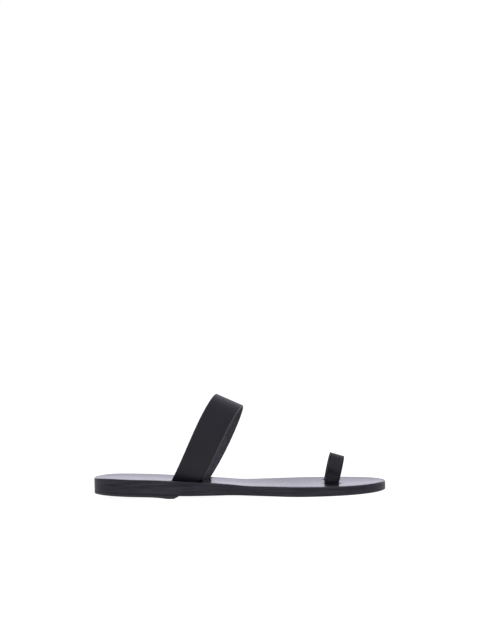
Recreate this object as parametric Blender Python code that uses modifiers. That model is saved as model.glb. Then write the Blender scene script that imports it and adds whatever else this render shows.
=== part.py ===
"""Right-foot flat leather sandal, about EU size 38: a slide with an instep strap and a ring for the big toe.

The sole has an outsole that thickens from the waist to the heel, a thin lift under the heel and an insole.
It stands on the ball and on the lift's front, and its heel is bent up a little.
Strap and ring are the upper. They go through slots in the insole and end in pockets in the outsole.

Frame: metres, +X to the toe, +Y to the inner side of the foot, +Z up. The origin is on the floor, under
the middle of the sandal's box. Lengths along the sole are measured from the back of the heel.
"""

import math
from collections import namedtuple

import bmesh
import bpy
import numpy as np

MM = 0.001

# Driving dimensions
SOLE_LENGTH = 255.4 * MM
HEEL_ROUND = 36 * MM  # length of the heel's round end
TOE_ROUND = 54 * MM  # length of the toe's round end
TOE_SHIFT = 4 * MM  # how far the toe's tip lies to the inner side of the axis
END_TRIM = 0.25 * MM  # cut off both round ends, so that each ends in a short straight edge
INSOLE_THICKNESS = 2.4 * MM
EDGE_RADIUS = 0.8 * MM  # rounding of the insole's top edge and of the sole's bottom edge
BREAST_LOW = 68.4 * MM  # front edge of the lift at the floor
BREAST_HIGH = 72.8 * MM  # front edge of the lift at the outsole
FIT_GAP = 0.3 * MM  # between pieces that meet
STRAP_DEPTH = 4.3 * MM  # how far the strap ends go below the insole's top
STRAP_EDGE_RADIUS = 0.35 * MM

# How finely the pieces are faceted
SOLE_STATIONS = 60
SOLE_ACROSS = 4
LIFT_STATIONS = 28
STRAP_ACROSS = 4

# Half widths of the sole beside its axis, before the ends are rounded and the toe is shifted, in millimetres
Width = namedtuple("Width", "x outer inner")
WIDTHS = [
    Width(0, 28.5, 28.5),
    Width(35, 29.0, 28.5),
    Width(70, 30.5, 27.0),
    Width(105, 32.5, 25.0),
    Width(130, 34.0, 27.5),
    Width(150, 37.5, 34.0),
    Width(170, 41.5, 40.5),
    Width(190, 43.5, 43.5),
    Width(212, 42.5, 43.5),
    Width(255.4, 39.0, 42.5),
]

INWARD = {"outer": -1, "inner": 1}  # sign of a shift to the inner side, for each side of the sole

# Height of the outsole's underside and thickness of outsole and insole together, in millimetres
Height = namedtuple("Height", "x underside stack")
HEIGHTS = [
    Height(0, 6.0, 11.4),
    Height(10, 5.55, 12.4),
    Height(30, 4.65, 12.75),
    Height(50, 3.75, 12.75),
    Height(73.5, 2.25, 12.7),
    Height(96, 2.0, 11.4),
    Height(115, 2.1, 9.65),
    Height(124, 1.9, 8.8),
    Height(136, 1.35, 8.35),
    Height(152, 0.75, 8.45),
    Height(168, 0.15, 8.6),
    Height(180, 0.0, 8.55),
    Height(192, 0.0, 8.4),
    Height(206, 0.1, 8.15),
    Height(232, 0.17, 8.0),
    Height(245, 0.3, 8.0),
    Height(255.4, 0.75, 7.4),
]

# Height of the lift's lower face, in millimetres: it stands on its front and rises to the back of the heel
LiftHeight = namedtuple("LiftHeight", "x bottom")
LIFT_HEIGHTS = [
    LiftHeight(0, 3.85),
    LiftHeight(20, 2.9),
    LiftHeight(38, 2.15),
    LiftHeight(50, 1.6),
    LiftHeight(58, 0.85),
    LiftHeight(64, 0.0),
    LiftHeight(75, 0.0),
]

# A row of a layer's side wall, from the bottom up: its share of the layer's height, an offset from there,
# and how far the row is set in from the outline
EdgeRow = namedtuple("EdgeRow", "share offset inset")
SMALL_STEP = 0.29 * EDGE_RADIUS  # where a quarter circle of that radius is cut halfway
SQUARE_BOTTOM = [EdgeRow(0, 0.0, 0.0)]
SQUARE_TOP = [EdgeRow(1, 0.0, 0.0)]
ROUND_BOTTOM = [
    EdgeRow(0, 0.0, EDGE_RADIUS),
    EdgeRow(0, SMALL_STEP, SMALL_STEP),
    EdgeRow(0, EDGE_RADIUS, 0.0),
]
ROUND_TOP = [
    EdgeRow(1, -EDGE_RADIUS, 0.0),
    EdgeRow(1, -SMALL_STEP, SMALL_STEP),
    EdgeRow(1, 0.0, EDGE_RADIUS),
]

# A strap: x and y of the middle between its slots, its lean to the toe, its turn (inner end forward), half
# the distance between the slots, half the distance between the arch's shoulders, its crown, how far its
# lower legs bow to the toe, how much the arch grows from the front to the rear edge as a share of its
# height, its width at the crown, and its width at the slots as a share of that
Strap = namedtuple(
    "Strap", "name x y lean turn half_span shoulder crown bow flare width slot_share thickness steps"
)
INSTEP_STRAP = Strap(
    name="instep_strap",
    x=84.3 * MM,
    y=-2.0 * MM,
    lean=math.radians(27.15),
    turn=math.radians(11.3),
    half_span=22 * MM,
    shoulder=71.2 * MM,
    crown=76.4 * MM,
    bow=0.95 * MM,
    flare=-0.012,
    width=25.9 * MM,
    slot_share=0.935,
    thickness=2.0 * MM,
    steps=44,
)
TOE_RING = Strap(
    name="toe_ring",
    x=209.2 * MM,
    y=14.8 * MM,
    lean=math.radians(13.5),
    turn=math.radians(4.3),
    half_span=13.5 * MM,
    shoulder=19 * MM,
    crown=22.5 * MM,
    bow=0.0,
    flare=0.04,
    width=13.1 * MM,
    slot_share=0.95,
    thickness=1.8 * MM,
    steps=28,
)
CROWN_SHARE = 0.75  # a cubic arch rises to this share of its control points' height
BOW_PEAK = 27 / 4  # makes the greatest value of h (1-h)^2 one

Finish = namedtuple("Finish", "colour roughness")
SMOOTH_LEATHER = Finish((0.022, 0.021, 0.026), 0.42)
INSOLE_LEATHER = Finish((0.026, 0.025, 0.030), 0.34)
BURNISHED_EDGE = Finish((0.024, 0.023, 0.028), 0.46)
LIFT_RUBBER = Finish((0.018, 0.018, 0.019), 0.62)


def smooth_curve(table, column, x):
    """Value of a table's column, in metres, on a smooth curve through its rows, level at its peaks."""
    at = np.array([row.x for row in table]) * MM
    value = np.array([getattr(row, column) for row in table]) * MM
    step = np.diff(at)
    rise = np.diff(value) / step
    mean = (rise[:-1] * step[1:] + rise[1:] * step[:-1]) / (at[2:] - at[:-2])
    level = rise[:-1] * rise[1:] <= 0
    slope = np.concatenate([rise[:1], np.where(level, 0, mean), rise[-1:]])
    x = np.clip(x, at[0], at[-1])
    i = np.clip(np.searchsorted(at, x, side="right") - 1, 0, len(step) - 1)
    t = (x - at[i]) / step[i]
    ends = value[i] * (1 + 2 * t) * (1 - t) ** 2 + value[i + 1] * t**2 * (3 - 2 * t)
    bends = slope[i] * t * (1 - t) ** 2 - slope[i + 1] * t**2 * (1 - t)
    return ends + bends * step[i]


def side_edge(x, column):
    """How far one side of the sole lies from its axis.

    The table's half width is rounded by a quarter ellipse at the heel and at the toe, and the toe's round
    end is bent to the inner side, with the square of the way into it.
    """
    heel = np.clip(1 - (x + END_TRIM) / HEEL_ROUND, 0, 1)
    toe = np.clip(1 - (SOLE_LENGTH - x + END_TRIM) / TOE_ROUND, 0, 1)
    rounded = smooth_curve(WIDTHS, column, x) * np.sqrt((1 - heel**2) * (1 - toe**2))
    return rounded + INWARD[column] * TOE_SHIFT * toe**2


def outline_shift():
    """How far the sole's axis lies to the inner side of its box's middle line."""
    x = np.linspace(0, SOLE_LENGTH, 2000)
    return (side_edge(x, "outer").max() - side_edge(x, "inner").max()) / 2


AXIS_Y = outline_shift()


def underside(x):
    """Height of the outsole's underside."""
    return smooth_curve(HEIGHTS, "underside", x)


def insole_top(x):
    """Height of the face that the foot stands on."""
    return underside(x) + smooth_curve(HEIGHTS, "stack", x)


def insole_bottom(x):
    """Height of the insole's lower face."""
    return insole_top(x) - INSOLE_THICKNESS


def outsole_top(x):
    """Height of the outsole's upper face, just clear of the insole."""
    return insole_bottom(x) - FIT_GAP


def lift_bottom(x):
    """Height of the lift's lower face."""
    return smooth_curve(LIFT_HEIGHTS, "bottom", x)


def lift_top(x):
    """Height of the lift's upper face, just clear of the outsole."""
    return underside(x) - FIT_GAP


def side_points(x, column, sign, inset):
    """Points of one side of the outline, moved in along the outline's normal by inset."""
    small = 1e-5
    low = np.clip(x - small, 0, SOLE_LENGTH)
    high = np.clip(x + small, 0, SOLE_LENGTH)
    slope = (side_edge(high, column) - side_edge(low, column)) / (high - low)
    length = np.hypot(1, slope)
    along = x + inset * slope / length
    return along, sign * (side_edge(x, column) - inset / length)


def to_frame(x, y, z):
    """Points of the sole's own axes, as rows in the part's frame."""
    return np.stack([x - SOLE_LENGTH / 2, y + AXIS_Y, z], axis=-1)


def block(x_parts, y_parts, z_parts):
    """A cube from 0 to 1 whose faces are cut into that many parts along each axis."""
    bm = bmesh.new()
    bmesh.ops.create_cube(bm, size=1.0)
    bmesh.ops.translate(bm, verts=bm.verts, vec=(0.5, 0.5, 0.5))
    for axis, parts in enumerate((x_parts, y_parts, z_parts)):
        if parts > 1:
            along = [e for e in bm.edges if abs(e.verts[0].co[axis] - e.verts[1].co[axis]) > 0.5]
            bmesh.ops.subdivide_edges(bm, edges=along, cuts=parts - 1, use_grid_fill=True)
    return bm


def reshape(bm, new_place):
    """Moves all vertices at once: new_place takes their coordinates as three arrays."""
    old = np.array([v.co for v in bm.verts])
    for vertex, place in zip(bm.verts, new_place(*old.T)):
        vertex.co = place


def leather(name, finish):
    """A plain material of that colour and roughness."""
    material = bpy.data.materials.new(name)
    material.use_nodes = True
    shader = material.node_tree.nodes["Principled BSDF"]
    shader.inputs["Base Color"].default_value = (*finish.colour, 1)
    shader.inputs["Roughness"].default_value = finish.roughness
    shader.inputs["Metallic"].default_value = 0
    return material


def add_object(name, bm, collection, finish=None):
    """Turns the bmesh into an object of the collection."""
    mesh = bpy.data.meshes.new(name)
    bm.normal_update()
    bm.to_mesh(mesh)
    bm.free()
    obj = bpy.data.objects.new(name, mesh)
    collection.objects.link(obj)
    if finish:
        mesh.materials.append(leather(name, finish))
    mesh.shade_smooth()
    mesh.set_sharp_from_angle(angle=math.radians(40))
    return obj


def sole_layer(name, collection, finish, lower, upper, rows):
    """A full-length layer of the sole between two heights, whose side wall follows the edge rows."""
    bm = block(SOLE_STATIONS, SOLE_ACROSS, len(rows) - 1)
    row_inset = np.array([row.inset for row in rows])
    row_share = np.array([row.share for row in rows])
    row_offset = np.array([row.offset for row in rows])

    def place(u, across, level):
        x = SOLE_LENGTH * (1 - np.cos(math.pi * u)) / 2
        row = np.rint(level * (len(rows) - 1)).astype(int)
        outer_x, outer_y = side_points(x, "outer", -1, row_inset[row])
        inner_x, inner_y = side_points(x, "inner", 1, row_inset[row])
        px = outer_x + (inner_x - outer_x) * across
        py = outer_y + (inner_y - outer_y) * across
        low = lower(px)
        pz = low + (upper(px) - low) * row_share[row] + row_offset[row]
        return to_frame(px, py, pz)

    reshape(bm, place)
    return add_object(name, bm, collection, finish)


def heel_lift(collection):
    """The thin top piece under the heel, with a slanting front edge."""
    bm = block(LIFT_STATIONS, SOLE_ACROSS, 1)

    def place(u, across, level):
        front = BREAST_LOW + (BREAST_HIGH - BREAST_LOW) * level
        x = front * (1 - np.cos(math.pi / 2 * u))
        outer = -side_edge(x, "outer")
        y = outer + (side_edge(x, "inner") - outer) * across
        low = lift_bottom(x)
        return to_frame(x, y, low + (lift_top(x) - low) * level)

    reshape(bm, place)
    return add_object("heel_lift", bm, collection, LIFT_RUBBER)


def strap_axes(strap):
    """Unit vectors: from slot to slot, up along the lean, and across the width in line with the sole."""
    to_inner = np.array([math.sin(strap.turn), math.cos(strap.turn), 0])
    forward = np.array([math.cos(strap.turn), -math.sin(strap.turn), 0])
    up = np.array([0, 0, 1])
    rise = forward * math.sin(strap.lean) + up * math.cos(strap.lean)
    width = np.array([math.cos(strap.lean), 0, -math.sin(strap.lean)])
    return to_inner, rise, width


def arch_point(strap, t):
    """Sideways place and height of the strap's arch: a cubic curve from the outer to the inner slot."""
    near, far = 3 * (1 - t) ** 2 * t, 3 * (1 - t) * t**2
    side = strap.half_span * (t**3 - (1 - t) ** 3) + strap.shoulder * (far - near)
    return side, strap.crown / CROWN_SHARE * (near + far)


def sheet_points(strap, t, v, clearance):
    """Points of the strap's middle surface: t runs along its arch and v across its width.

    With h the share of the arch's height, the width grows from the slots with h (2-h), and the legs bow to
    the toe with h (1-h)^2. The flare makes the arch higher at one edge than at the other.
    """
    to_inner, rise, width = strap_axes(strap)
    side, height = arch_point(strap, t)
    height = height * (1 + strap.flare * (0.5 - v))
    share = 4 * t * (1 - t)
    narrowing = strap.slot_share + (1 - strap.slot_share) * share * (2 - share)
    bow = strap.bow * BOW_PEAK * share * (1 - share) ** 2
    across = (v - 0.5) * (strap.width * narrowing + 2 * clearance) + bow
    base = np.array([strap.x, strap.y, insole_top(strap.x)])
    return base + side[:, None] * to_inner + height[:, None] * rise + across[:, None] * width


def strap_end(strap, t, v, clearance):
    """Where the arch, carried on past its slot at t, reaches the strap's depth below the insole's top."""
    _, rise, _ = strap_axes(strap)
    descent = 3 * strap.crown / CROWN_SHARE * rise[2] * (1 - 2 * t)
    end = np.full(len(v), float(t))
    for _ in range(6):
        x, _, z = sheet_points(strap, end, v, clearance).T
        end -= (z - insole_top(x) + STRAP_DEPTH + clearance) / descent
    return end


def strap_points(strap, u, v, clearance):
    """Points of the strap from its outer end, at u = 0, to its inner end, in the part's frame."""
    outer = strap_end(strap, 0, v, clearance)
    inner = strap_end(strap, 1, v, clearance)
    points = sheet_points(strap, outer + (inner - outer) * u, v, clearance)
    return to_frame(*points.T)


def strap_sheet(strap, collection, finish=None, clearance=0.0):
    """A strap as a bent sheet of leather; with no finish, the cutter of its slots, larger by clearance."""
    bm = bmesh.new()
    bmesh.ops.create_grid(bm, x_segments=strap.steps, y_segments=STRAP_ACROSS, size=0.5)
    reshape(bm, lambda x, y, _: strap_points(strap, x + 0.5, y + 0.5, clearance))
    name = strap.name if finish else f"{strap.name}_slot"
    obj = add_object(name, bm, collection, finish)
    solid = obj.modifiers.new("leather thickness", "SOLIDIFY")
    solid.thickness = strap.thickness + 2 * clearance
    solid.offset = 0
    if finish:
        rounding = obj.modifiers.new("rounded edges", "BEVEL")
        rounding.width = STRAP_EDGE_RADIUS
        rounding.segments = 1
        rounding.limit_method = "ANGLE"
        rounding.angle_limit = math.radians(60)
    else:
        obj.hide_render = True
        obj.display_type = "WIRE"
    return obj


def cut(obj, cutters):
    """Cuts each cutter out of the object."""
    for cutter in cutters:
        boolean = obj.modifiers.new(cutter.name, "BOOLEAN")
        boolean.operation = "DIFFERENCE"
        boolean.object = cutter


def new_collection(name):
    """A collection of that name in the scene."""
    collection = bpy.data.collections.new(name)
    bpy.context.scene.collection.children.link(collection)
    return collection


def main():
    for obj in list(bpy.data.objects):
        bpy.data.objects.remove(obj)
    pieces = new_collection("flat_sandal")
    cutters = new_collection("cutters")

    outsole = sole_layer(
        "outsole", pieces, BURNISHED_EDGE, underside, outsole_top, ROUND_BOTTOM + SQUARE_TOP
    )
    insole = sole_layer(
        "insole", pieces, INSOLE_LEATHER, insole_bottom, insole_top, SQUARE_BOTTOM + ROUND_TOP
    )
    heel_lift(pieces)
    slots = []
    for strap in (INSTEP_STRAP, TOE_RING):
        strap_sheet(strap, pieces, SMOOTH_LEATHER)
        slots.append(strap_sheet(strap, cutters, clearance=FIT_GAP))
    cut(insole, slots)
    cut(outsole, slots)


main()
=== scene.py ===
"""Looks of a right-foot flat sandal in black leather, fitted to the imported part.

Each piece is a fine surface worked out from the sandal's own sizes, and stands for the CAD node of its name.
Lengths along the sole are measured from the back of the heel, and y points to the inner side of the foot.
"""

import math
from collections import namedtuple
from functools import partial

import bmesh
import bpy
import numpy as np
from bpy.props import FloatProperty, FloatVectorProperty, PointerProperty
from mathutils import Matrix, Vector


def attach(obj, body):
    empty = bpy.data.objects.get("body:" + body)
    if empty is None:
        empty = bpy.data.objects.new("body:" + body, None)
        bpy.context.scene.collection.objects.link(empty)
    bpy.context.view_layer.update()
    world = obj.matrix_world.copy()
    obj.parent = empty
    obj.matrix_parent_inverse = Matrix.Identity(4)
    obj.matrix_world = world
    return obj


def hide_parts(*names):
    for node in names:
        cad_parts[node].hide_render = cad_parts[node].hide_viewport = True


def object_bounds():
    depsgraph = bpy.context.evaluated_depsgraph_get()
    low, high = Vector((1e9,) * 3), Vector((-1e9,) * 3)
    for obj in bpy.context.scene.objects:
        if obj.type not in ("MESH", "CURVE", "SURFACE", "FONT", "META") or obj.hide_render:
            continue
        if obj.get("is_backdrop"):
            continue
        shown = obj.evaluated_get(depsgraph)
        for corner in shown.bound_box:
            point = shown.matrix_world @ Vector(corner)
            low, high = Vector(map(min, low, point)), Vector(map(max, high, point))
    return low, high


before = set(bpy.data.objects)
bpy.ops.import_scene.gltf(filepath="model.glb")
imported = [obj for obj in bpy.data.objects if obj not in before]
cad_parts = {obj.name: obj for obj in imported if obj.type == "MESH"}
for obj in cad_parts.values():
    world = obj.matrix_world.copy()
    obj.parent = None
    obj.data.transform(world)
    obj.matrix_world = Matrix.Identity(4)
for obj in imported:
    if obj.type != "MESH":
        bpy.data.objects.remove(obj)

bl_info = {
    "name": "Flat sandal looks",
    "version": (1, 0, 0),
    "blender": (4, 5, 0),
    "location": "3D View > Sidebar > Sandal",
    "description": "Leather straps, insole, outsole and heel lift of a flat sandal, with a plain studio",
    "category": "Object",
}

MM = 0.001
CAD_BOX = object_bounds()
SOLE_LENGTH = CAD_BOX[1].x - CAD_BOX[0].x
BODY = "root"
PHOTO_WIDTH, PHOTO_HEIGHT = 480, 640  # picture points of the photograph's frame

# Half widths of the sole beside its axis, before the ends are rounded and the toe is shifted, in millimetres
Width = namedtuple("Width", "x outer inner")
WIDTHS = [
    Width(0, 28.5, 28.5),
    Width(35, 29.0, 28.5),
    Width(70, 30.5, 27.0),
    Width(105, 32.5, 25.0),
    Width(130, 34.0, 27.5),
    Width(150, 37.5, 34.0),
    Width(170, 41.5, 40.5),
    Width(190, 43.5, 43.5),
    Width(212, 42.5, 43.5),
    Width(255.4, 39.0, 42.5),
]
INWARD = {"outer": -1, "inner": 1}  # sign of a shift to the inner side, for each side of the sole

# Height of the outsole's underside and thickness of outsole and insole together, in millimetres
Height = namedtuple("Height", "x underside stack")
HEIGHTS = [
    Height(0, 6.0, 11.4),
    Height(10, 5.55, 12.4),
    Height(30, 4.65, 12.75),
    Height(50, 3.75, 12.75),
    Height(73.5, 2.25, 12.7),
    Height(96, 2.0, 11.4),
    Height(115, 2.1, 9.65),
    Height(124, 1.9, 8.8),
    Height(136, 1.35, 8.35),
    Height(152, 0.75, 8.45),
    Height(168, 0.15, 8.6),
    Height(180, 0.0, 8.55),
    Height(192, 0.0, 8.4),
    Height(206, 0.1, 8.15),
    Height(232, 0.17, 8.0),
    Height(245, 0.3, 8.0),
    Height(255.4, 0.75, 7.4),
]

# Height of the lift's lower face, in millimetres: it stands on its front and rises to the back of the heel
LiftHeight = namedtuple("LiftHeight", "x bottom")
LIFT_HEIGHTS = [
    LiftHeight(0, 3.85),
    LiftHeight(20, 2.9),
    LiftHeight(38, 2.15),
    LiftHeight(50, 1.6),
    LiftHeight(58, 0.85),
    LiftHeight(64, 0.0),
    LiftHeight(75, 0.0),
]

# Soft creases of a strap: place from slot to slot and across the width from 0 to 1, half lengths there,
# depth in millimetres, below zero for a ridge, and how much painted shade darkens the leather there
Crease = namedtuple("Crease", "along across reach spread depth dark")
STRAP_CREASES = [
    # The first two rows paint shade at each foot, where the strap goes into its slot; the third is only
    # painted shade, along the front edge at the outer foot
    Crease(0.00, 0.50, 0.0115, 1.50, 0.10, 0.15),
    Crease(1.00, 0.50, 0.0115, 1.50, 0.10, 0.50),
    Crease(0.00, 1.00, 0.0180, 0.12, 0.00, 0.95),
    Crease(0.30, 0.35, 0.120, 0.30, 0.10, 0.00),
    Crease(0.47, 0.75, 0.100, 0.25, -0.08, 0.00),
    Crease(0.66, 0.45, 0.120, 0.30, 0.12, 0.00),
]
RING_CREASES = [
    # The dark rows paint shade into the wrinkles over the crown, the slanting creases and the small dent low
    # on the legs, and at each foot in its slot
    Crease(0.31, 0.09, 0.09, 0.050, 0.55, 1.00),
    Crease(0.33, 0.28, 0.08, 0.055, 0.60, 1.00),
    Crease(0.30, 0.46, 0.07, 0.050, 0.50, 0.90),
    Crease(0.33, 0.67, 0.09, 0.055, 0.60, 1.00),
    Crease(0.32, 0.91, 0.10, 0.050, 0.50, 0.90),
    Crease(0.34, 0.19, 0.09, 0.050, -0.30, 0.00),
    Crease(0.33, 0.56, 0.09, 0.060, -0.32, 0.00),
    Crease(0.27, 0.80, 0.12, 0.070, -0.38, 0.00),
    Crease(0.62, 0.20, 0.10, 0.045, 0.34, 0.90),
    Crease(0.66, 0.47, 0.10, 0.050, 0.36, 0.90),
    Crease(0.63, 0.78, 0.10, 0.045, 0.34, 0.90),
    Crease(0.12, 0.10, 0.034, 0.280, 0.25, 0.62),
    Crease(0.10, 0.42, 0.030, 0.280, 0.20, 0.52),
    Crease(0.08, 0.80, 0.025, 0.280, 0.15, 0.48),
    Crease(0.00, 0.30, 0.036, 0.500, -0.75, 0.00),
    Crease(0.09, 0.05, 0.01, 0.070, 0.10, 0.50),
    Crease(-0.02, 0.50, 0.020, 1.50, 0.10, 0.25),
    Crease(1.02, 0.50, 0.020, 1.50, 0.10, 0.45),
]
WEAR_AND_SHADE_LAYER = "wear_and_shade"  # mesh attribute: 0 on plain leather, 1 where shade is painted into a strap's crease or foot or onto the insole beside a slot; on the insole it also holds how worn the ball is
SHADE_BLACK = (0.002, 0.002, 0.0025, 1)  # colour of a strap where its painted shade is full
INSIDE_CREASE = 0.25  # share of a crease that shows on the inside of a strap
BOW_PEAK = 27 / 4  # makes the greatest value of h (1-h)^2 one
NEWTON_STEPS = 6  # enough to find where a strap meets the insole
COAT_ROUGHNESS = 0.12  # of the insole's polished face
PRESS_PLACE = 172 * MM  # where the ball of the foot presses, from the heel
PRESS_REACH = 30 * MM
PRESS_SHARE = 0.25  # wear there
SLOT_SHADE_PAST = 1.5 * MM  # how far the painted shade beside each slot reaches past its ends
SLOT_SHADE_INSIDE = 1.5 * MM  # and towards the other slot of the strap

# Dent of the insole round each slot, in millimetres from the strap, and its rim's share of the dent
DENT_REACH = 1.0
RIM_PLACE = 2.2
RIM_REACH = 1.1
RIM_SHARE = 0.22

# Grid of a sole layer: stations from heel to toe, and points across its bottom face, up each wall between
# the rounded edges, and across its top face
SoleGrid = namedtuple("SoleGrid", "stations bottom wall top")
OUTSOLE_GRID = SoleGrid(320, 28, 8, 8)
INSOLE_GRID = SoleGrid(480, 6, 3, 140)
LIFT_GRID = SoleGrid(320, 30, 4, 8)

# Grid of a strap: steps along its arch, and points across each face and round each corner of its section
StrapGrid = namedtuple("StrapGrid", "steps face corner")
STRAP_GRID = StrapGrid(260, 44, 7)
RING_GRID = StrapGrid(180, 100, 7)

WELD_DISTANCE = 0.002 * MM  # points of a skin that are closer are one
SHARP_ANGLE = math.radians(50)  # edges that turn more aren't shaded smooth


def length(name, description, millimetres):
    """A length property, with its default given in millimetres."""
    return FloatProperty(name=name, description=description, default=millimetres * MM, unit="LENGTH")


def angle(name, description, degrees):
    """An angle property, with its default given in degrees."""
    return FloatProperty(name=name, description=description, default=math.radians(degrees), subtype="ANGLE")


def number(name, description, value):
    """A plain number property."""
    return FloatProperty(name=name, description=description, default=value)


def colour(name, description, red, green, blue):
    """A colour property."""
    default = (red, green, blue)
    return FloatVectorProperty(name=name, description=description, default=default, subtype="COLOR", max=4)


class SoleSizes(bpy.types.PropertyGroup):
    """Sizes of the sole's layers."""

    heel_round: length("Heel round", "Length of the heel's round end", 36)
    toe_round: length("Toe round", "Length of the toe's round end", 54)
    toe_shift: length("Toe shift", "How far the toe's tip lies to the inner side of the axis", 4)
    insole_thickness: length("Insole", "Thickness of the insole", 2.4)
    top_radius: length("Top edge", "Rounding of the insole's top edge", 0.8)
    joint_radius: length("Joint", "Rounding of both edges at a joint", 0.18)
    bottom_radius: length("Bottom edge", "Rounding of the outsole's bottom edge", 0.8)
    lift_radius: length("Lift edge", "Rounding of the lift's bottom edge", 0.4)
    dish: number("Dish", "Depth of the insole's middle as a share of its half width", 0.042)
    slot_dimple: length("Slot dimple", "Depth of the dent round each slot", 0.5)
    breast_low: length("Breast low", "Front edge of the lift at the floor", 68.4)
    breast_high: length("Breast high", "Front edge of the lift at the outsole", 72.8)


class InstepStrap(bpy.types.PropertyGroup):
    """Place and sizes of the instep strap."""

    x: length("X", "Middle between the slots, from the heel", 84.3)
    y: length("Y", "Middle between the slots, to the inner side", -2.0)
    lean: angle("Lean", "Lean to the toe", 27.15)
    turn: angle("Turn", "How far the inner end is turned forward", 11.3)
    half_span: length("Half span", "Half the distance between the slots", 22)
    shoulder: length("Shoulder", "Half the distance between the arch's shoulders", 71.2)
    crown: length("Crown", "Height of the arch along its lean", 76.4)
    bow: length("Bow", "How far the lower legs bow to the toe", 0.95)
    flare: number("Flare", "Growth of the arch from the front to the rear edge, as a share", -0.012)
    width: length("Width", "Width of the strap at the crown", 25.9)
    slot_share: number("Slot share", "Width at the slots as a share of the width at the crown", 0.935)
    thickness: length("Thickness", "Thickness of the leather", 2.0)
    edge_radius: length("Edge", "Rounding of the cut edges", 0.75)
    depth: length("Depth", "How far the ends go below the insole's top", 3.5)
    # how far the painted shade on the insole reaches outside the strap's slots
    shade_reach: length("Rub", "How far outside its slots the strap rubs the insole", 9)


class ToeRing(bpy.types.PropertyGroup):
    """Place and sizes of the ring for the big toe."""

    x: length("X", "Middle between the slots, from the heel", 209.2)
    y: length("Y", "Middle between the slots, to the inner side", 14.8)
    lean: angle("Lean", "Lean to the toe", 13.5)
    turn: angle("Turn", "How far the inner end is turned forward", 4.3)
    half_span: length("Half span", "Half the distance between the slots", 13.5)
    shoulder: length("Shoulder", "Half the distance between the arch's shoulders", 19)
    crown: length("Crown", "Height of the arch along its lean", 22.5)
    bow: length("Bow", "How far the lower legs bow to the toe", 0)
    flare: number("Flare", "Growth of the arch from the front to the rear edge, as a share", 0.04)
    width: length("Width", "Width of the ring at the crown", 13.1)
    slot_share: number("Slot share", "Width at the slots as a share of the width at the crown", 0.95)
    thickness: length("Thickness", "Thickness of the leather", 1.8)
    edge_radius: length("Edge", "Rounding of the cut edges", 0.35)
    depth: length("Depth", "How far the ends go below the insole's top", 3.5)
    # how far the painted shade on the insole reaches outside the ring's slots
    shade_reach: length("Rub", "How far outside its slots the ring rubs the insole", 1.5)


class LeatherLooks(bpy.types.PropertyGroup):
    """Colours of the leathers and of the lift's rubber."""

    grain: colour("Strap", "Grain side of the instep strap", 0.0146, 0.0140, 0.0172)
    # The ring is the same leather as the strap; its lighter grain colour paints in the brighter light on its
    # more upright legs
    ring: colour("Ring", "Grain side of the toe ring", 0.0186, 0.0179, 0.0216)
    flesh: colour("Flesh side", "Inside of strap and ring", 0.056, 0.060, 0.065)
    # The dyed edge colour is lightened to paint in the highlight that runs along the strap's rounded edges
    cut: colour("Strap cut", "Dyed edges of the instep strap", 0.041, 0.041, 0.046)
    ring_cut: colour("Ring cut", "Dyed edges of the toe ring", 0.022, 0.022, 0.025)
    insole: colour("Insole", "Face that the foot stands on", 0.010, 0.0098, 0.013)
    edge: colour("Sole edge", "Burnished side of the sole", 0.0232, 0.0223, 0.0277)
    under: colour("Underside", "Tread side of the outsole", 0.014, 0.014, 0.015)
    rubber: colour("Lift", "Rubber of the heel lift", 0.018, 0.018, 0.020)


class StudioSetup(bpy.types.PropertyGroup):
    """Camera, light and floor."""

    yaw: angle("Yaw", "Turn of the view to the heel", 3)
    elevation: angle("Elevation", "View from above", 5.287)
    roll: angle("Roll", "Turn of the picture", 1.207)
    distance: length("Distance", "Camera to sandal", 1700)
    aim_along: length("Aim along", "Point that is aimed at, from the middle to the toe", -0.06)
    aim_height: length("Aim height", "Height of the point that is aimed at", 30)
    aim_row: number("Aim row", "Picture row of that point", 459.55)
    scale: number("Scale", "Picture points per millimetre", 1.1418)
    sky: colour("Surround", "Colour of the white surround", 1.03, 1.0, 1.16)
    floor: colour("Floor", "Colour of the floor", 0.16, 0.16, 0.15)
    floor_glow: number("Floor glow", "Light that the floor gives off", 0.96)
    key_power: number("Key light", "Power of the soft light, in watts", 4.0)


def smooth_curve(table, column, x):
    """Value of a table's column, in metres: cubic pieces through its rows, level where the rows turn."""
    at = np.array([row.x for row in table]) * MM
    value = np.array([getattr(row, column) for row in table]) * MM
    step = np.diff(at)
    rise = np.diff(value) / step
    mean = (rise[:-1] * step[1:] + rise[1:] * step[:-1]) / (at[2:] - at[:-2])
    slope = np.concatenate([rise[:1], np.where(rise[:-1] * rise[1:] <= 0, 0, mean), rise[-1:]])
    x = np.clip(x, at[0], at[-1])
    i = np.clip(np.searchsorted(at, x, side="right") - 1, 0, len(step) - 1)
    t = (x - at[i]) / step[i]
    ends = value[i] * (1 + 2 * t) * (1 - t) ** 2 + value[i + 1] * t**2 * (3 - 2 * t)
    bends = slope[i] * t * (1 - t) ** 2 - slope[i + 1] * t**2 * (1 - t)
    return ends + bends * step[i]


def underside(x):
    """Height of the outsole's underside."""
    return smooth_curve(HEIGHTS, "underside", x)


def lift_bottom(x):
    """Height of the lift's lower face."""
    return smooth_curve(LIFT_HEIGHTS, "bottom", x)


def insole_top(x):
    """Height of the insole's top edge: the underside plus the stack above it."""
    return underside(x) + smooth_curve(HEIGHTS, "stack", x)


def joint_height(sole):
    """Function of x that gives the height of the joint: the insole's top less its thickness."""
    return lambda x: insole_top(x) - sole.insole_thickness


def side_edge(sole, x, column):
    """How far one side of the sole lies from its axis.

    The table's half width times a quarter ellipse at each end, plus the toe's shift to the inner side, which
    grows with the square of the way into the toe's round end.
    """
    heel = np.clip(1 - x / sole.heel_round, 0, 1)
    toe = np.clip(1 - (SOLE_LENGTH - x) / sole.toe_round, 0, 1)
    rounded = smooth_curve(WIDTHS, column, x) * np.sqrt((1 - heel**2) * (1 - toe**2))
    return rounded + INWARD[column] * sole.toe_shift * toe**2


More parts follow.
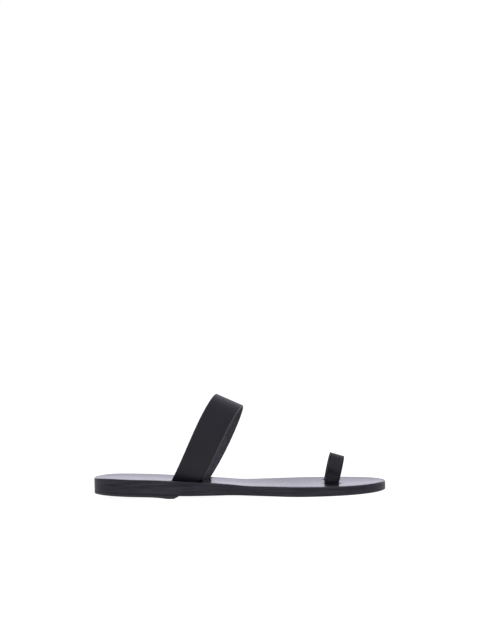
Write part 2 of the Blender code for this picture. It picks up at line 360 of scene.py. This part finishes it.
def outline(sole, turn, column, inset):
    """Points of one side of the sole's outline, set in along the outline's normal.

    x = length (1 - cos turn) / 2 and y = the side's distance there, both moved by inset along the normal,
    which is the outline's tangent turned by a right angle.
    """
    x = SOLE_LENGTH * (1 - np.cos(turn)) / 2
    y = side_edge(sole, x, column)
    dx, dy = np.gradient(x, turn, edge_order=2), np.gradient(y, turn, edge_order=2)
    run = np.hypot(dx, dy)
    px = x[:, None] + inset * (dy / run)[:, None]
    py = y[:, None] - inset * (dx / run)[:, None]
    return px, INWARD[column] * py


def quarter_round(radius, steps=5):
    """Inset and drop of a rounded edge from its face to its wall: radius (1 - sin) and radius (1 - cos)."""
    turn = np.linspace(0, math.pi / 2, steps)
    return radius * (1 - np.sin(turn)), radius * (1 - np.cos(turn))


def wall_rows(bottom_radius, top_radius, wall_steps):
    """Rows of a side wall from the bottom up: share of the height, offset from there and inset."""
    low_inset, low_rise = quarter_round(bottom_radius)
    top_inset, top_drop = quarter_round(top_radius)
    share = np.linspace(0, 1, wall_steps + 2)[1:-1]
    shares = np.concatenate([np.zeros(len(low_inset)), share, np.ones(len(top_inset))])
    blank = np.zeros(wall_steps)
    offsets = np.concatenate([low_rise, blank, -top_drop[::-1]])
    insets = np.concatenate([low_inset, blank, top_inset[::-1]])
    return shares, offsets, insets


def level_top(x, y):
    """No relief."""
    return np.zeros(np.broadcast(x, y).shape)


def sole_skin(sole, lower, upper, rows, grid, relief=level_top):
    """Closed skin of a sole layer as points[i, k]: i runs from heel to toe and k once round the section.

    A section is the bottom face from the outer to the inner side, the inner wall upwards, the top face back
    to the outer side and the outer wall downwards. Its faces are straight lines between the two walls, plus
    the relief on the top face. At both ends the two walls meet, and the section closes to a line.
    """
    shares, offsets, insets = rows
    turn = np.linspace(0, math.pi, grid.stations)
    outer_x, outer_y = outline(sole, turn, "outer", insets)
    inner_x, inner_y = outline(sole, turn, "inner", insets)

    def face(row, points, to_inner):
        """Points of a face, evenly spaced between that row of both walls."""
        share = np.linspace(0, 1, points + 2)[None, 1:-1]
        share = share if to_inner else 1 - share
        x = outer_x[:, row, None] * (1 - share) + inner_x[:, row, None] * share
        y = outer_y[:, row, None] * (1 - share) + inner_y[:, row, None] * share
        return x, y

    def wall(x):
        """Heights of a wall: shares of the way from lower to upper, plus the rounded edges' offsets."""
        low = lower(x)
        return low + (upper(x) - low) * shares + offsets

    low_x, low_y = face(0, grid.bottom, to_inner=True)
    top_x, top_y = face(-1, grid.top, to_inner=False)
    top_z = upper(top_x) + relief(top_x, top_y)
    xs = np.concatenate([low_x, inner_x, top_x, outer_x[:, ::-1]], axis=1)
    ys = np.concatenate([low_y, inner_y, top_y, outer_y[:, ::-1]], axis=1)
    zs = np.concatenate([lower(low_x), wall(inner_x), top_z, wall(outer_x)[:, ::-1]], axis=1)
    return to_frame(xs, ys, zs)


def section_parts(rows, grid, over_edge=0):
    """Material number of each step round a sole section: 0 for the bottom, 1 for the walls, 2 for the top.

    The top's material also covers that many steps of the rounded edge.
    """
    step = np.arange(len(rows[0]))
    inner = np.where(step < len(step) - 1 - over_edge, 1, 2)
    outer = np.where(step < over_edge, 2, 1)
    return np.concatenate([np.full(grid.bottom, 0), inner, np.full(grid.top, 2), outer])


def to_frame(x, y, z):
    """Points of the sole's own axes, in the part's frame."""
    return np.stack([x - SOLE_LENGTH / 2, y, z], axis=-1)


def cut_breast(sole, points):
    """Ends the lift's skin at its slanting front: x is held at a line from floor to outsole.

    The last section is then drawn together to its middle, which closes the skin.
    """
    x, y, z = np.moveaxis(points, -1, 0)
    share = np.clip(z / underside(sole.breast_high), 0, 1)
    front = sole.breast_low + (sole.breast_high - sole.breast_low) * share - SOLE_LENGTH / 2
    last = int((x.min(axis=1) < front.max()).sum()) + 1
    kept = np.stack([np.minimum(x, front), y, z], axis=-1)[:last]
    end = kept[-1:].mean(axis=1, keepdims=True) + np.zeros_like(kept[-1:])
    return np.concatenate([kept, end])


def strap_axes(strap):
    """Unit vectors: from slot to slot, up along the lean, and across the width in line with the sole."""
    to_inner = np.array([math.sin(strap.turn), math.cos(strap.turn), 0])
    forward = np.array([math.cos(strap.turn), -math.sin(strap.turn), 0])
    up = np.array([0, 0, 1])
    rise = forward * math.sin(strap.lean) + up * math.cos(strap.lean)
    width = np.array([math.cos(strap.lean), 0, -math.sin(strap.lean)])
    return to_inner, rise, width


def arch(strap, t):
    """Place sideways and along the rise, and the outward normal, of a strap's cubic arch.

    side = half_span (t^3 - (1-t)^3) + shoulder 3 t (1-t) (2t-1) and height = 4 crown t (1-t).
    """
    side = strap.half_span * (t**3 - (1 - t) ** 3) + strap.shoulder * 3 * t * (1 - t) * (2 * t - 1)
    height = 4 * strap.crown * t * (1 - t)
    d_side = 3 * strap.half_span * (t**2 + (1 - t) ** 2) + strap.shoulder * 3 * (6 * t * (1 - t) - 1)
    d_height = 4 * strap.crown * (1 - 2 * t)
    run = np.hypot(d_side, d_height)
    return side, height, -d_height / run, d_side / run


def strap_point(strap, t, across, out):
    """Points of a strap: along its arch, across its width from its middle, and out from its mid leather.

    With h = 4 t (1-t), the height grows by the flare from the front to the rear edge, the width grows from
    the slots to the crown with h (2-h), and the legs bow to the toe with h (1-h)^2, most where h is 1/3.
    """
    to_inner, rise, width = strap_axes(strap)
    side, height, normal_side, normal_height = arch(strap, t)
    base = np.array([strap.x, strap.y, insole_top(strap.x)])
    side = (side + out * normal_side)[..., None]
    grown = height * (1 - strap.flare * across / strap.width)
    height = (grown + out * normal_height)[..., None]
    share = 4 * t * (1 - t)
    narrowing = strap.slot_share + (1 - strap.slot_share) * share * (2 - share)
    bow = strap.bow * BOW_PEAK * share * (1 - share) ** 2
    return base + side * to_inner + height * rise + (across * narrowing + bow)[..., None] * width


def strap_end(strap, t, across, depth):
    """Where the arch, carried on past its slot at t, lies that far below the insole's top.

    Newton steps on the height above the insole, with the slope of the arch at its slot.
    """
    rise = strap_axes(strap)[1]
    descent = 4 * strap.crown * rise[2] * (1 - 2 * t)
    end = np.full(across.shape, float(t))
    for _ in range(NEWTON_STEPS):
        point = strap_point(strap, end, across, np.zeros(across.shape))
        end -= (point[..., 2] - insole_top(point[..., 0]) + depth) / descent
    return end


def crease_sums(creases, along, across):
    """Depth and painted shade of all creases: each is a bell curve along and across the strap."""
    depth, dark = np.zeros(along.shape), np.zeros(along.shape)
    for crease in creases:
        off_along = (along - crease.along) / crease.reach
        off_across = (across - crease.across) / crease.spread
        bell = np.exp(-(off_along**2) - off_across**2)
        depth += crease.depth * MM * bell
        dark += crease.dark * bell
    return depth, np.clip(dark, 0, 1)


def strap_section(strap, grid):
    """Section of a strap once round, as places across and out: a rectangle with rounded corners.

    It starts at the front edge's outer corner, and runs over the outside, the rear edge and the inside.
    """
    radius = strap.edge_radius
    half, thick = strap.width / 2 - radius, strap.thickness / 2 - radius
    flat = np.linspace(half, -half, grid.face + 2)[1:-1]
    turn = np.linspace(0, math.pi / 2, grid.corner)
    corner = [turn + quarter * math.pi / 2 for quarter in range(4)]
    centre_across = [half, -half, -half, half]
    centre_out = [thick, thick, -thick, -thick]
    across = [place + radius * np.cos(angles) for place, angles in zip(centre_across, corner)]
    out = [place + radius * np.sin(angles) for place, angles in zip(centre_out, corner)]
    outside = np.full(grid.face, strap.thickness / 2)
    across = np.concatenate([across[0], flat, across[1], across[2], -flat, across[3]])
    out = np.concatenate([out[0], outside, out[1], out[2], -outside, out[3]])
    return across, out


def strap_parts(strap, across, out):
    """Material number of each step round a strap section: 0 outside, 1 cut edges, 2 inside."""
    middle_across = np.abs(across + np.roll(across, -1)) / 2
    middle_out = (out + np.roll(out, -1)) / 2
    on_edge = middle_across > strap.width / 2 - strap.edge_radius
    return np.where(on_edge, 1, np.where(middle_out > 0, 0, 2))


def strap_skin(strap, across, out, creases, steps):
    """Closed skin of a strap as points[i, k], and its painted shade there.

    i runs from the outer to the inner end and k round the section, which is carried along the arch between
    the two ends below the insole. The creases are taken off the outside, and their darkness is painted
    shade.
    At both ends the section is drawn together to its middle, which closes the skin.
    """
    first, last = (strap_end(strap, side, across, strap.depth) for side in (0, 1))
    outer_slot, inner_slot = (strap_end(strap, side, across, 0) for side in (0, 1))
    t = first + (last - first) * np.linspace(0, 1, steps)[:, None]
    place = (t - outer_slot) / (inner_slot - outer_slot)
    depth, wear_and_shade = crease_sums(creases, place, across / strap.width + 0.5)
    outside = np.clip(out / strap.thickness + 0.5, 0, 1)
    depth *= INSIDE_CREASE + (1 - INSIDE_CREASE) * outside
    points = strap_point(strap, t, np.broadcast_to(across, t.shape), out - depth)
    ends = points[[0, -1]].mean(axis=1, keepdims=True) + np.zeros_like(points[[0, -1]])
    closed = np.concatenate([ends[:1], points, ends[1:]])
    return to_frame(*np.moveaxis(closed, -1, 0)), np.pad(wear_and_shade, ((1, 1), (0, 0)), mode="edge")


def slot_distances(straps, x, y):
    """For each slot: its strap, how far points lie past its ends, and how far out from the other slot."""
    for strap in straps:
        ends = np.array([-0.5, 0.5]) * strap.width
        for side in (0, 1):
            t = strap_end(strap, side, ends, 0)
            (ax, ay, _), (bx, by, _) = strap_point(strap, t, ends, np.zeros(2))
            run = math.hypot(bx - ax, by - ay)
            ux, uy = (bx - ax) / run, (by - ay) / run
            along = (x - ax) * ux + (y - ay) * uy
            to_inner = (y - ay) * ux - (x - ax) * uy
            yield strap, np.maximum(np.maximum(-along, along - run), 0), to_inner if side else -to_inner


def slot_dents(sole, straps, x, y):
    """Height of the insole's dents: a bell curve of the distance from each slot, and a faint rim."""
    dent = np.zeros(np.broadcast(x, y).shape)
    for strap, past, out in slot_distances(straps, x, y):
        gap = np.maximum(np.hypot(past, out) - strap.thickness / 2, 0) / MM
        rim = RIM_SHARE * np.exp(-(((gap - RIM_PLACE) / RIM_REACH) ** 2))
        dent += rim - np.exp(-((gap / DENT_REACH) ** 2))
    return sole.slot_dimple * dent


def insole_relief(sole, straps, x, y):
    """Relief of the insole's top: the slots' dents, and a dish that is deepest in the middle.

    The dish's depth is its share of the half width, which is at least 1 mm, times 1 - s^2, where s runs
    from 0 in the middle to 1 at both edges.
    """
    outer, inner = side_edge(sole, x, "outer"), side_edge(sole, x, "inner")
    middle, half = (inner - outer) / 2, np.maximum((inner + outer) / 2, MM)
    share = np.clip(np.abs(y - middle) / half, 0, 1)
    return slot_dents(sole, straps, x, y) - sole.dish * half * (1 - share**2)


def insole_wear_and_shade(straps, points):
    """Worn ball and painted shade of the insole: a bell curve along the sole at the ball, where it is worn,
    and painted shade beside each slot, standing in for the shade that the strap's foot casts there.

    The shade is full along the slot, and fades past its ends and, more steeply, to both sides of it.
    """
    x, y = points[..., 0] + SOLE_LENGTH / 2, points[..., 1]
    wear_and_shade = PRESS_SHARE * np.exp(-(((x - PRESS_PLACE) / PRESS_REACH) ** 2))
    for strap, past, out in slot_distances(straps, x, y):
        reach = np.where(out > 0, strap.shade_reach, SLOT_SHADE_INSIDE)
        # painted shade beside the slot, where the strap's foot shades the insole
        wear_and_shade = np.maximum(wear_and_shade, np.exp(-((past / SLOT_SHADE_PAST) ** 2) - (out / reach) ** 4))
    return wear_and_shade


class Value:
    """A shader value that takes part in Python arithmetic: each operation adds one Math node."""

    MIDDLE = 0.5  # of a noise from 0 to 1

    def __init__(self, paint, output):
        self.paint = paint
        self.output = output

    def math(self, operation, *values):
        """Result of one Math node."""
        return self.paint.node("ShaderNodeMath", {"operation": operation}, dict(enumerate(values)))["Value"]

    def __add__(self, other):
        return self.math("ADD", self, other)

    def __sub__(self, other):
        return self.math("SUBTRACT", self, other)

    def __rsub__(self, other):
        return self.math("SUBTRACT", other, self)

    def __mul__(self, other):
        return self.math("MULTIPLY", self, other)

    __radd__ = __add__
    __rmul__ = __mul__

    def swing(self, reach):
        """A noise about its middle, below and above zero: (value - middle) reach."""
        return (self - self.MIDDLE) * reach

    def stretched(self, factor):
        """A noise with more contrast: (value - middle) factor + middle."""
        return self.swing(factor) + self.MIDDLE


class Paint:
    """A material under construction."""

    def __init__(self, name):
        self.material = bpy.data.materials.new(name)
        self.material.use_nodes = True
        self.tree = self.material.node_tree
        self.shader = self.tree.nodes["Principled BSDF"]

    def feed(self, inputs, sockets):
        """Links each named socket to its shader value, or sets the socket's own number or colour."""
        for name, value in sockets.items():
            if isinstance(value, Value):
                self.tree.links.new(value.output, inputs[name])
            else:
                inputs[name].default_value = value

    def node(self, kind, settings, sockets):
        """Adds a node with these settings and socket values, and returns its outputs by name."""
        made = self.tree.nodes.new(kind)
        for name, setting in settings.items():
            setattr(made, name, setting)
        self.feed(made.inputs, sockets)
        return {output.name: Value(self, output) for output in made.outputs if output.enabled}

    def place(self, stretch=(1, 1, 1)):
        """Object coordinates, stretched along each axis."""
        at = self.node("ShaderNodeTexCoord", {}, {})["Object"]
        return self.node("ShaderNodeMapping", {}, {"Vector": at, "Scale": stretch})["Vector"]

    def noise(self, at, scale, detail=3.0, roughness=0.5):
        """Noise from 0 to 1 with that many waves per metre."""
        sockets = {"Vector": at, "Scale": scale, "Detail": detail, "Roughness": roughness}
        return self.node("ShaderNodeTexNoise", {}, sockets)["Fac"]

    def cells(self, at, scale):
        """Distance from the nearest border of cells, that many per metre."""
        sockets = {"Vector": at, "Scale": scale}
        return self.node("ShaderNodeTexVoronoi", {"feature": "DISTANCE_TO_EDGE"}, sockets)["Distance"]

    def layer(self, name):
        """The mesh attribute of that name."""
        return self.node("ShaderNodeAttribute", {"attribute_name": name}, {})["Fac"]

    def mix(self, factor, first, second):
        """Colour between two colours, which are the Mix node's sockets 6 and 7."""
        sockets = {"Factor": factor, 6: first, 7: second}
        return self.node("ShaderNodeMix", {"data_type": "RGBA"}, sockets)["Result"]

    def varied(self, factor, tone, darkest, lightest):
        """A colour between two shades of a tone, each given as a factor."""
        return self.mix(factor, shade(tone, darkest), shade(tone, lightest))

    def darkened(self, tone):
        """A colour that turns nearly black with the painted shade in the mesh's shade layer."""
        return self.mix(self.layer(WEAR_AND_SHADE_LAYER), tone, SHADE_BLACK)

    def finish(self, tone, roughness, height, depth, gloss, coat=0.0):
        """Feeds the shader: colour, roughness, a relief of that depth in metres, even gloss and coat."""
        bump = self.node("ShaderNodeBump", {}, {"Distance": depth, "Height": height})
        sockets = {
            "Coat Weight": coat,
            "Coat Roughness": COAT_ROUGHNESS,
            "Base Color": tone,
            "Roughness": roughness,
            "Normal": bump["Normal"],
            "Specular IOR Level": gloss,
        }
        self.feed(self.shader.inputs, sockets)
        return self.material


def shade(tone, factor):
    """A colour times a factor, with full alpha."""
    return (*(channel * factor for channel in tone), 1.0)


def smooth_leather(name, tone, roughness, gloss, relief):
    """Smooth leather: fine grain cells, cloudy colour and gloss, and painted shade in its crease troughs and
    at a strap's foot.
    """
    paint = Paint(name)
    at = paint.place()
    cloud = paint.noise(at, scale=55, detail=4)
    fine = paint.noise(at, scale=900, detail=2)
    cell = paint.cells(at, scale=1700)
    # painted shade from the mesh layer darkens the creases and the strap's foot
    grain_and_shade = paint.darkened(paint.varied(cloud, tone, darkest=0.8, lightest=1.2))
    height = cell + fine * 0.5 + cloud * 0.8
    rough = roughness + cloud.swing(0.16) + fine.swing(0.10)
    return paint.finish(grain_and_shade, rough, height, relief, gloss)


def insole_leather(name, tone):
    """Polished insole leather: a fine grain under a smooth coat, which is thinner where the ball is worn,
    and thinner still beside the slots as painted shade.
    """
    paint = Paint(name)
    at = paint.place()
    cloud = paint.noise(at, scale=40, detail=4)
    fine = paint.noise(at, scale=900, detail=2)
    cell = paint.cells(at, scale=1700)
    tinted = paint.varied(cloud, tone, darkest=0.7, lightest=1.3)
    rough = 0.4 + fine.swing(0.2)
    # the coat thins with the layer: at the ball where it is worn, and beside the slots as painted shade
    coat = 0.77 + cloud.swing(0.08) - paint.layer(WEAR_AND_SHADE_LAYER) * 0.6
    return paint.finish(tinted, rough, cell + fine * 0.5, depth=0.04 * MM, gloss=0.1, coat=coat)


def flesh_leather(name, tone):
    """Inside of a strap: a short matte nap with lighter fibres and soft blotches, and painted shade in its
    creases and at its foot.
    """
    paint = Paint(name)
    at = paint.place()
    nap = paint.noise(at, scale=2600, detail=4, roughness=0.65)
    blotch = paint.noise(at, scale=420, detail=3, roughness=0.6)
    mottled = (nap * 0.4 + blotch * 0.6).stretched(2.6)
    # painted shade from the mesh layer darkens the creases and the strap's foot
    nap_and_shade = paint.darkened(paint.varied(mottled, tone, darkest=0.5, lightest=1.5))
    rough = 0.86 + nap.swing(0.1)
    return paint.finish(nap_and_shade, rough, nap, depth=0.25 * MM, gloss=0.25)


def cut_leather(name, tone):
    """Dyed cut edge of a strap: short fibres, a slight gloss, and painted shade in its creases and at its
    foot.
    """
    paint = Paint(name)
    at = paint.place()
    fibre = paint.noise(at, scale=1800, detail=4, roughness=0.6)
    blotch = paint.noise(at, scale=300, detail=3)
    mottled = fibre * 0.5 + blotch * 0.5
    # painted shade from the mesh layer darkens the creases and the strap's foot
    dye_and_shade = paint.darkened(paint.varied(mottled, tone, darkest=0.5, lightest=1.5))
    rough = 0.5 + fibre.swing(0.2)
    return paint.finish(dye_and_shade, rough, fibre, depth=0.12 * MM, gloss=0.2)


def edge_leather(name, tone, roughness):
    """Burnished side of the sole: long fibre streaks and fine lines along it, and a slight gloss."""
    paint = Paint(name)
    streak = paint.noise(paint.place(stretch=(0.06, 0.06, 1)), scale=420, detail=3, roughness=0.6)
    lines = paint.noise(paint.place(stretch=(0.05, 0.05, 1)), scale=1700, detail=4, roughness=0.6)
    cloud = paint.noise(paint.place(), scale=60, detail=3)
    fibres = streak * 0.55 + lines * 0.3 + cloud * 0.15
    strong = fibres.stretched(3.0)
    streaked = paint.varied(strong, tone, darkest=0.4, lightest=1.6)
    rough = roughness + lines.swing(0.22) + cloud.swing(0.12)
    return paint.finish(streaked, rough, lines + cloud, depth=0.13 * MM, gloss=0.08)


def lift_rubber(name, tone):
    """Matte rubber with a fine even stipple."""
    paint = Paint(name)
    at = paint.place()
    stipple = paint.noise(at, scale=2200, detail=2)
    cloud = paint.noise(at, scale=70, detail=3)
    tinted = paint.varied(cloud, tone, darkest=0.75, lightest=1.3)
    rough = 0.56 + stipple.swing(0.2)
    return paint.finish(tinted, rough, stipple + cloud * 0.5, depth=0.1 * MM, gloss=0.25)


def add_piece(name, node, points, parts, materials, wear_and_shade=None):
    """Makes the closed skin points[i, k] a piece that rides on the part and stands for a node of it.

    Neighbours along i and round k are joined to quads, and points that coincide are welded, which closes the
    ends. parts gives the material number of each step round k, and wear_and_shade a mesh attribute from 0 to
    1 of painted shade and of how worn the leather is.
    """
    along, around = points.shape[:2]
    index = np.arange(along * around).reshape(along, around)
    here, there = index[:-1], index[1:]
    quads = np.stack([here, there, np.roll(there, -1, 1), np.roll(here, -1, 1)], axis=-1).reshape(-1, 4)
    mesh = bpy.data.meshes.new(name)
    mesh.from_pydata(points.reshape(-1, 3), [], quads)
    mesh.polygons.foreach_set("material_index", np.tile(parts, along - 1))
    for material in materials:
        mesh.materials.append(material)
    if wear_and_shade is not None:
        layer = mesh.attributes.new(WEAR_AND_SHADE_LAYER, "FLOAT", "POINT")
        layer.data.foreach_set("value", wear_and_shade.ravel())
    skin = bmesh.new()
    skin.from_mesh(mesh)
    bmesh.ops.remove_doubles(skin, verts=skin.verts, dist=WELD_DISTANCE)
    skin.to_mesh(mesh)
    skin.free()
    mesh.shade_smooth()
    mesh.set_sharp_from_angle(angle=SHARP_ANGLE)
    piece = bpy.data.objects.new(name, mesh)
    bpy.context.scene.collection.objects.link(piece)
    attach(piece, BODY)
    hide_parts(node)


def add_strap(name, node, strap, grid, creases, materials):
    """Makes a strap or ring a piece: its section carried along its arch, with its creases."""
    across, out = strap_section(strap, grid)
    points, wear_and_shade = strap_skin(strap, across, out, creases, grid.steps)
    add_piece(name, node, points, strap_parts(strap, across, out), materials, wear_and_shade)


class SANDAL_OT_outsole(bpy.types.Operator):
    """Outsole: one leather layer with a burnished side, thicker at the heel"""

    bl_idname = "sandal.outsole"
    bl_label = "Outsole"

    def execute(self, context):
        sole, looks = context.scene.sandal_sole, context.scene.sandal_looks
        rows = wall_rows(sole.bottom_radius, sole.joint_radius, OUTSOLE_GRID.wall)
        points = sole_skin(sole, underside, joint_height(sole), rows, OUTSOLE_GRID)
        under = smooth_leather("outsole_underside", looks.under, roughness=0.6, gloss=0.3, relief=0.07 * MM)
        edge = edge_leather("outsole_edge", looks.edge, roughness=0.42)
        parts = section_parts(rows, OUTSOLE_GRID)
        add_piece("outsole_leather", "outsole", points, parts, [under, edge, under])
        return {"FINISHED"}


class SANDAL_OT_insole(bpy.types.Operator):
    """Insole: smooth leather with a rounded edge, a slight dish and a dent round each slot"""

    bl_idname = "sandal.insole"
    bl_label = "Insole"

    def execute(self, context):
        scene = context.scene
        sole, looks = scene.sandal_sole, scene.sandal_looks
        straps = (scene.sandal_instep, scene.sandal_ring)
        rows = wall_rows(sole.joint_radius, sole.top_radius, INSOLE_GRID.wall)
        relief = partial(insole_relief, sole, straps)
        points = sole_skin(sole, joint_height(sole), insole_top, rows, INSOLE_GRID, relief)
        top = insole_leather("insole_face", looks.insole)
        edge = edge_leather("insole_edge", looks.edge, roughness=0.40)
        parts = section_parts(rows, INSOLE_GRID, over_edge=3)
        wear_and_shade = insole_wear_and_shade(straps, points)
        add_piece("insole_leather", "insole", points, parts, [edge, edge, top], wear_and_shade)
        return {"FINISHED"}


class SANDAL_OT_heel_lift(bpy.types.Operator):
    """Heel lift: a thin rubber piece with a slanting front and a rising back"""

    bl_idname = "sandal.heel_lift"
    bl_label = "Heel lift"

    def execute(self, context):
        sole, looks = context.scene.sandal_sole, context.scene.sandal_looks
        rows = wall_rows(sole.lift_radius, sole.joint_radius, LIFT_GRID.wall)
        points = cut_breast(sole, sole_skin(sole, lift_bottom, underside, rows, LIFT_GRID))
        rubber = lift_rubber("lift_rubber", looks.rubber)
        parts = section_parts(rows, LIFT_GRID)
        add_piece("heel_lift_rubber", "heel_lift", points, parts, [rubber] * 3)
        return {"FINISHED"}


class SANDAL_OT_instep_strap(bpy.types.Operator):
    """Instep strap: wide smooth leather, grain side out"""

    bl_idname = "sandal.instep_strap"
    bl_label = "Instep strap"

    def execute(self, context):
        strap, looks = context.scene.sandal_instep, context.scene.sandal_looks
        grain = smooth_leather("strap_grain_side", looks.grain, roughness=0.36, gloss=0.12, relief=0.07 * MM)
        cut = cut_leather("strap_cut_edge", looks.cut)
        materials = [grain, cut, flesh_leather("strap_inside", looks.flesh)]
        add_strap("instep_strap_leather", "instep_strap", strap, STRAP_GRID, STRAP_CREASES, materials)
        return {"FINISHED"}


class SANDAL_OT_toe_ring(bpy.types.Operator):
    """Toe ring: narrow leather with fine creases over its crown"""

    bl_idname = "sandal.toe_ring"
    bl_label = "Toe ring"

    def execute(self, context):
        ring, looks = context.scene.sandal_ring, context.scene.sandal_looks
        grain = smooth_leather("ring_grain_side", looks.ring, roughness=0.38, gloss=0.12, relief=0.08 * MM)
        cut = cut_leather("ring_cut_edge", looks.ring_cut)
        materials = [grain, cut, flesh_leather("ring_inside", looks.flesh)]
        add_strap("toe_ring_leather", "toe_ring", ring, RING_GRID, RING_CREASES, materials)
        return {"FINISHED"}


class SANDAL_OT_studio(bpy.types.Operator):
    """Studio: pale floor, white surround, one soft light and the camera"""

    bl_idname = "sandal.studio"
    bl_label = "Studio"

    def execute(self, context):
        studio = context.scene.sandal_studio
        self.add_floor(studio)
        self.add_light(studio)
        self.add_camera(context.scene, studio)
        context.scene.view_settings.view_transform = "Standard"
        return {"FINISHED"}

    def add_floor(self, studio):
        """A wide square floor at height zero."""
        half_side = 9.0
        corners = np.array([[-1, -1, 0], [1, -1, 0], [1, 1, 0], [-1, 1, 0]]) * half_side
        mesh = bpy.data.meshes.new("floor")
        mesh.from_pydata(corners, [], [(0, 1, 2, 3)])
        paint = Paint("pale_floor")
        sockets = {
            "Base Color": (*studio.floor, 1),
            "Emission Color": (1, 1, 1, 1),
            "Emission Strength": studio.floor_glow,
            "Roughness": 0.9,
            "Specular IOR Level": 0.1,
        }
        paint.feed(paint.shader.inputs, sockets)
        mesh.materials.append(paint.material)
        floor = bpy.data.objects.new("floor", mesh)
        bpy.context.scene.collection.objects.link(floor)
        floor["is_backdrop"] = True

    def add_light(self, studio):
        """A white surround and a large soft light above, a little to the outer side and the heel."""
        world = bpy.data.worlds.new("white_surround")
        world.use_nodes = True
        world.node_tree.nodes["Background"].inputs["Color"].default_value = (*studio.sky, 1)
        bpy.context.scene.world = world
        data = bpy.data.lights.new("soft_key", "AREA")
        data.energy = studio.key_power
        data.shape = "DISK"
        data.size = 1.2
        key = bpy.data.objects.new("soft_key", data)
        key.location = (-0.3, -0.5, 1.6)
        key.rotation_euler = (-key.location).to_track_quat("-Z", "Y").to_euler()
        bpy.context.scene.collection.objects.link(key)

    def add_camera(self, scene, studio):
        """The camera looks at the aim point from the set angles, tilted to put it on its picture row."""
        c, s = math.cos, math.sin
        yaw, rise, roll = studio.yaw, studio.elevation, studio.roll
        forward = Vector((s(yaw) * c(rise), c(yaw) * c(rise), -s(rise)))
        level = Vector((c(yaw), -s(yaw), 0))
        upright = level.cross(forward)
        right = level * c(roll) - upright * s(roll)
        up = level * s(roll) + upright * c(roll)
        focal = studio.scale * studio.distance / MM
        tilt = math.atan((studio.aim_row - PHOTO_HEIGHT / 2) / focal)
        view = forward * c(tilt) + up * s(tilt)
        top = up * c(tilt) - forward * s(tilt)
        data = bpy.data.cameras.new("camera")
        data.sensor_width = 36.0
        data.lens = focal * c(tilt) * data.sensor_width / max(PHOTO_WIDTH, PHOTO_HEIGHT)
        data.clip_end = 100
        camera = bpy.data.objects.new("camera", data)
        place = Matrix((right, top, -view)).transposed().to_4x4()
        place.translation = Vector((studio.aim_along, 0, studio.aim_height)) - forward * studio.distance
        camera.matrix_world = place
        scene.collection.objects.link(camera)
        scene.camera = camera


class SANDAL_PT_looks(bpy.types.Panel):
    """Lists the sandal's pieces, its sizes and its colours"""

    bl_label = "Flat sandal"
    bl_idname = "SANDAL_PT_looks"
    bl_space_type = "VIEW_3D"
    bl_region_type = "UI"
    bl_category = "Sandal"

    def draw(self, context):
        for operator in PIECES:
            self.layout.operator(operator.bl_idname)
        for name, group in GROUPS.items():
            box = self.layout.box()
            for size in group.__annotations__:
                box.prop(getattr(context.scene, name), size)


GROUPS = {
    "sandal_sole": SoleSizes,
    "sandal_instep": InstepStrap,
    "sandal_ring": ToeRing,
    "sandal_looks": LeatherLooks,
    "sandal_studio": StudioSetup,
}
PIECES = (
    SANDAL_OT_outsole,
    SANDAL_OT_insole,
    SANDAL_OT_heel_lift,
    SANDAL_OT_instep_strap,
    SANDAL_OT_toe_ring,
    SANDAL_OT_studio,
)
CLASSES = (*GROUPS.values(), *PIECES, SANDAL_PT_looks)


def register():
    """Registers the classes, and hangs each group of sizes on the scene."""
    for cls in CLASSES:
        bpy.utils.register_class(cls)
    for name, group in GROUPS.items():
        setattr(bpy.types.Scene, name, PointerProperty(type=group))


def unregister():
    """Takes the groups off the scene again, and unregisters the classes."""
    for name in GROUPS:
        delattr(bpy.types.Scene, name)
    for cls in reversed(CLASSES):
        bpy.utils.unregister_class(cls)


def main():
    """Makes every piece and the studio."""
    register()
    bpy.ops.sandal.outsole()
    bpy.ops.sandal.insole()
    bpy.ops.sandal.heel_lift()
    bpy.ops.sandal.instep_strap()
    bpy.ops.sandal.toe_ring()
    bpy.ops.sandal.studio()
    boxes = {"cad": CAD_BOX, "visual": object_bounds()}
    {name: [list(corner) for corner in box] for name, box in boxes.items()}


if __name__ == "__main__":
    main()
